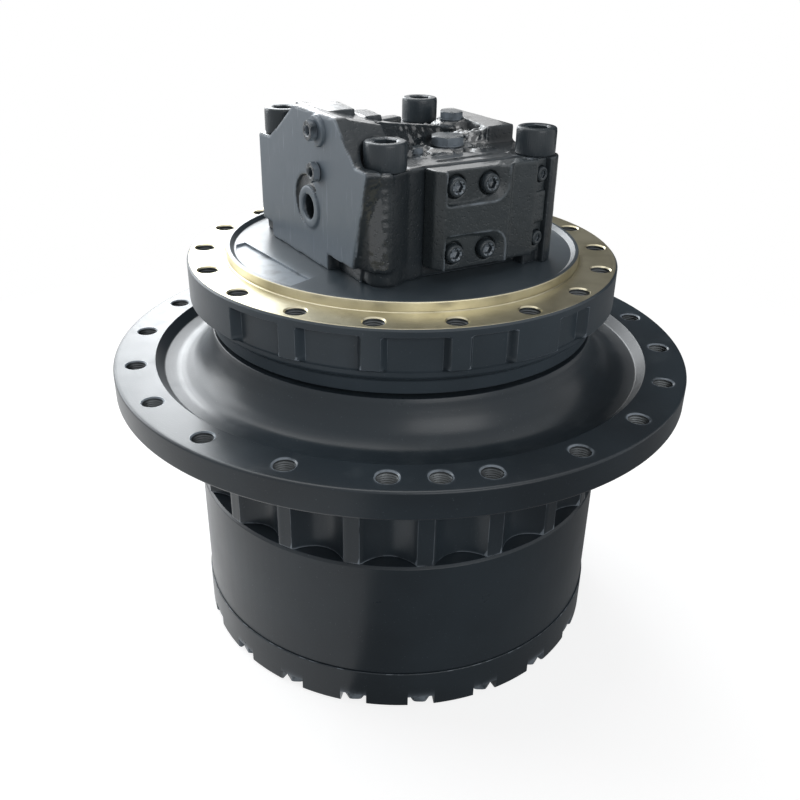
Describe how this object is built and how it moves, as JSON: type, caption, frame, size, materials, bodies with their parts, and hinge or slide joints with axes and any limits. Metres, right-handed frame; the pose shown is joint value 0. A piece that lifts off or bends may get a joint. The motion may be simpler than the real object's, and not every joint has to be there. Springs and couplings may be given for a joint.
{
  "type": "excavator final drive",
  "caption": "Hydraulic travel drive: axial piston motor on a two-stage planetary hub with a bolted sprocket flange and a frame flange.",
  "frame": {"origin": "centre of the hub cover's underside, on the drive's axis", "axes": "+Z along the drive's axis from the cover to the motor; -Y towards the side with the extra hole in the sprocket flange"},
  "size_m": [0.54, 0.54, 0.507],
  "materials": {
    "blue_grey_paint": "gloss",
    "machined_steel": "machined",
    "hardened_steel": "satin",
    "painted_steel": "gloss",
    "cast_iron": "as cast",
    "bronze": "satin",
    "friction_lining": "matte",
    "seal_rubber": "matte"
  },
  "bodies": {
    "case": {"motor_case": "blue_grey_paint", "end_cover": "blue_grey_paint", "valve_cover": "blue_grey_paint", "end_cover_screw_1": "painted_steel", "end_cover_screw_2": "painted_steel", "end_cover_screw_3": "painted_steel", "end_cover_screw_4": "painted_steel", "large_hex_plug": "painted_steel", "small_hex_plug": "painted_steel", "relief_valve": "painted_steel", "upper_left_plug": "painted_steel", "lower_left_plug": "painted_steel", "spool_cap": "painted_steel", "valve_plate": "bronze", "brake_spring": "hardened_steel", "brake_steel_plate_1": "machined_steel", "brake_steel_plate_2": "machined_steel", "front_shaft_bearing": "machined_steel", "rear_shaft_bearing": "machined_steel", "shaft_seal": "seal_rubber", "second_carrier": "cast_iron", "second_planet_pin_1": "hardened_steel", "second_planet_pin_2": "hardened_steel", "second_planet_pin_3": "hardened_steel", "second_planet_pin_4": "hardened_steel", "bearing_nut": "hardened_steel", "case_seal_ring": "hardened_steel", "case_rubber_ring": "seal_rubber"},
    "hub": {"hub": "blue_grey_paint", "ring_gear": "blue_grey_paint", "hub_cover": "blue_grey_paint", "lower_main_bearing": "machined_steel", "upper_main_bearing": "machined_steel", "hub_seal_ring": "hardened_steel", "hub_rubber_ring": "seal_rubber", "cover_drain_plug": "hardened_steel", "cover_level_plug": "hardened_steel", "thrust_pad": "bronze"},
    "first_carrier": {"first_carrier": "cast_iron", "second_sun_gear": "machined_steel", "first_planet_pin_1": "hardened_steel", "first_planet_pin_2": "hardened_steel", "first_planet_pin_3": "hardened_steel"},
    "motor_shaft": {"drive_shaft": "machined_steel", "cylinder_block": "machined_steel", "pistons_and_retainer": "bronze", "brake_friction_plate_1": "friction_lining", "brake_friction_plate_2": "friction_lining", "first_sun_shaft": "machined_steel"},
    "brake_piston": {"brake_piston": "machined_steel"},
    "spool": {"counterbalance_spool": "machined_steel"},
    "swash_plate": {"swash_plate": "machined_steel"},
    "speed_piston": {"speed_piston": "hardened_steel"},
    "second_planet_1": {"second_planet_gear_1": "machined_steel"},
    "second_planet_2": {"second_planet_gear_2": "machined_steel"},
    "second_planet_3": {"second_planet_gear_3": "machined_steel"},
    "second_planet_4": {"second_planet_gear_4": "machined_steel"},
    "first_planet_1": {"first_planet_gear_1": "machined_steel"},
    "first_planet_2": {"first_planet_gear_2": "machined_steel"},
    "first_planet_3": {"first_planet_gear_3": "machined_steel"}
  },
  "joints": [
    {"name": "hub_spin", "type": "hinge", "parent": "case", "child": "hub", "pos_m": [0, 0, 0.2], "axis": [0, 0, 1], "continuous": true},
    {"name": "second_planet_1_spin", "type": "hinge", "parent": "case", "child": "second_planet_1", "pos_m": [0.114, 0, 0.109], "axis": [0, 0, 1], "continuous": true},
    {"name": "second_planet_2_spin", "type": "hinge", "parent": "case", "child": "second_planet_2", "pos_m": [0, 0.114, 0.109], "axis": [0, 0, 1], "continuous": true},
    {"name": "second_planet_3_spin", "type": "hinge", "parent": "case", "child": "second_planet_3", "pos_m": [-0.114, 0, 0.109], "axis": [0, 0, 1], "continuous": true},
    {"name": "second_planet_4_spin", "type": "hinge", "parent": "case", "child": "second_planet_4", "pos_m": [0, -0.114, 0.109], "axis": [0, 0, 1], "continuous": true},
    {"name": "first_carrier_spin", "type": "hinge", "parent": "case", "child": "first_carrier", "pos_m": [0, 0, 0.08], "axis": [0, 0, 1], "continuous": true},
    {"name": "first_planet_1_spin", "type": "hinge", "parent": "first_carrier", "child": "first_planet_1", "pos_m": [0.10036, -0.02133, 0.049], "axis": [0, 0, 1], "continuous": true},
    {"name": "first_planet_2_spin", "type": "hinge", "parent": "first_carrier", "child": "first_planet_2", "pos_m": [-0.0317, 0.09758, 0.049], "axis": [0, 0, 1], "continuous": true},
    {"name": "first_planet_3_spin", "type": "hinge", "parent": "first_carrier", "child": "first_planet_3", "pos_m": [-0.06865, -0.07625, 0.049], "axis": [0, 0, 1], "continuous": true},
    {"name": "motor_shaft_spin", "type": "hinge", "parent": "case", "child": "motor_shaft", "pos_m": [0, 0, 0.3], "axis": [0, 0, 1], "continuous": true},
    {"name": "brake_release", "type": "slide", "parent": "case", "child": "brake_piston", "axis": [0, 0, 1], "range_m": [0, 0.002], "stiffness_N_per_m": 50000, "springref_m": -0.001, "deforming": ["brake_spring"]},
    {"name": "spool_slide", "type": "slide", "parent": "case", "child": "spool", "axis": [0.866, 0.5, 0], "range_m": [-0.006, 0.006], "stiffness_N_per_m": 3000},
    {"name": "swash_tilt", "type": "hinge", "parent": "case", "child": "swash_plate", "pos_m": [0, -0.015, 0.2023], "axis": [1, 0, 0], "range_deg": [0, 6.8]},
    {"name": "speed_piston_slide", "type": "slide", "parent": "case", "child": "speed_piston", "axis": [0, 0, 1], "range_m": [0, 0.0077]}
  ],
  "couplings": [
    {"joint": "second_planet_1_spin", "follows": "hub_spin", "ratio": 3},
    {"joint": "second_planet_2_spin", "follows": "hub_spin", "ratio": 3},
    {"joint": "second_planet_3_spin", "follows": "hub_spin", "ratio": 3},
    {"joint": "second_planet_4_spin", "follows": "hub_spin", "ratio": 3},
    {"joint": "first_carrier_spin", "follows": "hub_spin", "ratio": -3},
    {"joint": "first_planet_1_spin", "follows": "hub_spin", "ratio": 10},
    {"joint": "first_planet_2_spin", "follows": "hub_spin", "ratio": 10},
    {"joint": "first_planet_3_spin", "follows": "hub_spin", "ratio": 10},
    {"joint": "motor_shaft_spin", "follows": "hub_spin", "ratio": -23},
    {"joint": "speed_piston_slide", "follows": "swash_tilt", "m_per_rad": 0.064}
  ]
}
